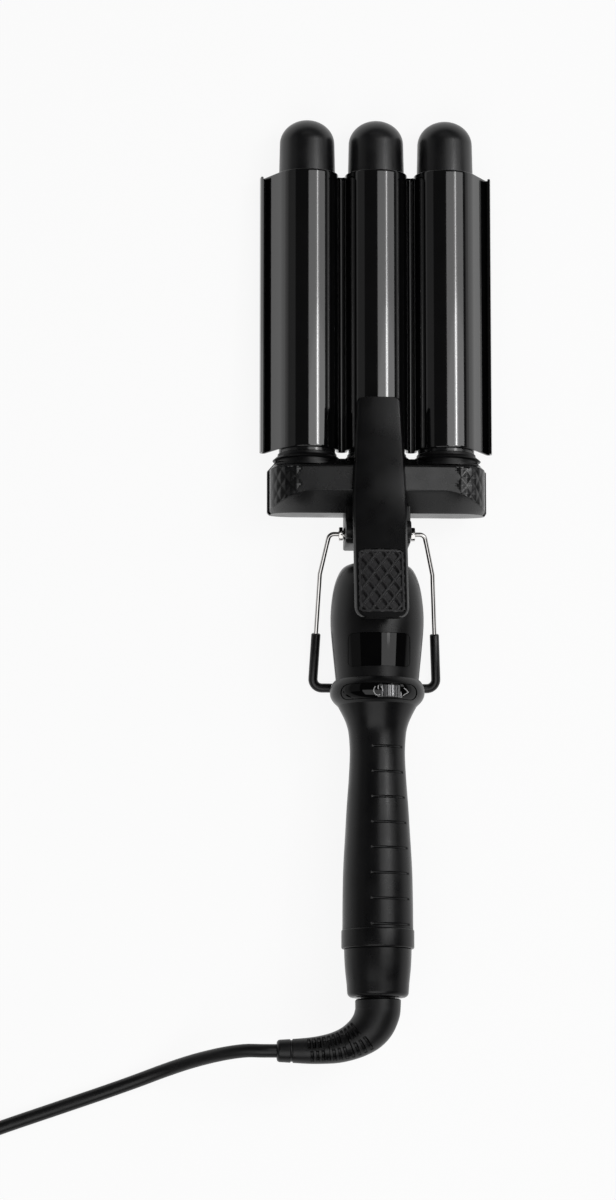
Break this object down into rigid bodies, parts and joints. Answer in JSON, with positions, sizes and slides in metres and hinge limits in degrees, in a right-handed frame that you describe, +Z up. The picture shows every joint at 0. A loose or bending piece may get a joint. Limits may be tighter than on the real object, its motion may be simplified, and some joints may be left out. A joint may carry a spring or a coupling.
{
  "type": "hair waver",
  "caption": "Hair waver with side-by-side barrels, sprung wavy clamp and lever, folding wire stand, display, thumbwheel and swivel mains lead",
  "frame": {"origin": "on the table under the middle of the tool's box, as it lies on its back on its folded wire stand and its outer barrel tips", "axes": "+Z up out of the tool's front, +Y along the tool towards the barrel tips, +X to the right as seen from the front"},
  "size_m": [0.3267, 0.4677, 0.0626],
  "materials": {
    "gloss_plate": "high gloss ceramic-coated metal, near black",
    "barrel_coat": "glossy black ceramic coating",
    "tip_plastic": "matte heat-resistant plastic",
    "body_plastic": "satin black plastic",
    "pad_rubber": "matte rubber",
    "aluminium_core": "plain",
    "steel": "plain zinc-plated",
    "wire_chrome": "bright plated wire and bushes",
    "soft_sleeve": "satin vinyl sleeve",
    "window_gloss": "piano black",
    "display": "dark display glass in a plastic frame",
    "board": "green solder resist",
    "wheel_grey": "glossy dark metallised plastic",
    "cord_rubber": "satin vinyl sheath",
    "inner_wire": "silicone insulated wire"
  },
  "bodies": {
    "tool": {"barrel_left": "barrel_coat", "barrel_middle": "barrel_coat", "barrel_right": "barrel_coat", "barrel_tip_left": "tip_plastic", "barrel_tip_middle": "tip_plastic", "barrel_tip_right": "tip_plastic", "barrel_collar_left": "body_plastic", "barrel_collar_middle": "body_plastic", "barrel_collar_right": "body_plastic", "crossbar_front_shell": "body_plastic", "crossbar_back_shell": "body_plastic", "hinge_block": "body_plastic", "neck_tube": "body_plastic", "head_front_shell": "body_plastic", "head_back_shell": "body_plastic", "control_collar": "body_plastic", "grip_front_shell": "body_plastic", "grip_back_shell": "body_plastic", "end_ring": "body_plastic", "end_cap": "body_plastic", "wheel_encoder": "body_plastic", "heater_left": "aluminium_core", "heater_middle": "aluminium_core", "heater_right": "aluminium_core", "crossbar_screws": "steel", "hinge_block_screws": "steel", "closing_spring": "steel", "handle_screws": "steel", "plug_pins": "steel", "stand_bushes": "wire_chrome", "display_window": "window_gloss", "control_strip": "window_gloss", "display_module": "display", "control_board": "board", "mains_lead": "cord_rubber", "lead_coil": "cord_rubber", "lead_tail": "cord_rubber", "plug_body": "cord_rubber", "heater_wires": "inner_wire", "supply_wires": "inner_wire"},
    "clamp": {"clamp_plate": "gloss_plate", "lever_bracket": "steel", "lever_cover": "body_plastic", "lever_pad": "pad_rubber", "lever_rivets": "steel", "hinge_pin": "steel"},
    "stand": {"stand_wire": "wire_chrome", "stand_sleeve": "soft_sleeve"},
    "wheel": {"temperature_wheel": "wheel_grey"},
    "cord_swivel": {"swivel_ferrule": "body_plastic", "strain_relief_boot": "cord_rubber"}
  },
  "joints": [
    {"name": "clamp_hinge", "type": "hinge", "parent": "tool", "child": "clamp", "pos_m": [0, 0.02322, 0.03255], "axis": [1, 0, 0], "range_deg": [0, 17], "stiffness_Nm_per_rad": 0.4, "springref_deg": -28.65},
    {"name": "stand_hinge", "type": "hinge", "parent": "tool", "child": "stand", "pos_m": [0, 0.02265, 0.02056], "axis": [1, 0, 0], "range_deg": [0, 72]},
    {"name": "wheel_turn", "type": "hinge", "parent": "tool", "child": "wheel", "pos_m": [0.00359, -0.04871, 0.03786], "axis": [0, 0.9989, -0.0474], "range_deg": [0, 270]},
    {"name": "cord_turn", "type": "hinge", "parent": "tool", "child": "cord_swivel", "pos_m": [0, -0.18112, 0.03024], "axis": [0, 0.9989, -0.0474], "range_deg": [-30, 90], "deforming": ["mains_lead"]}
  ]
}
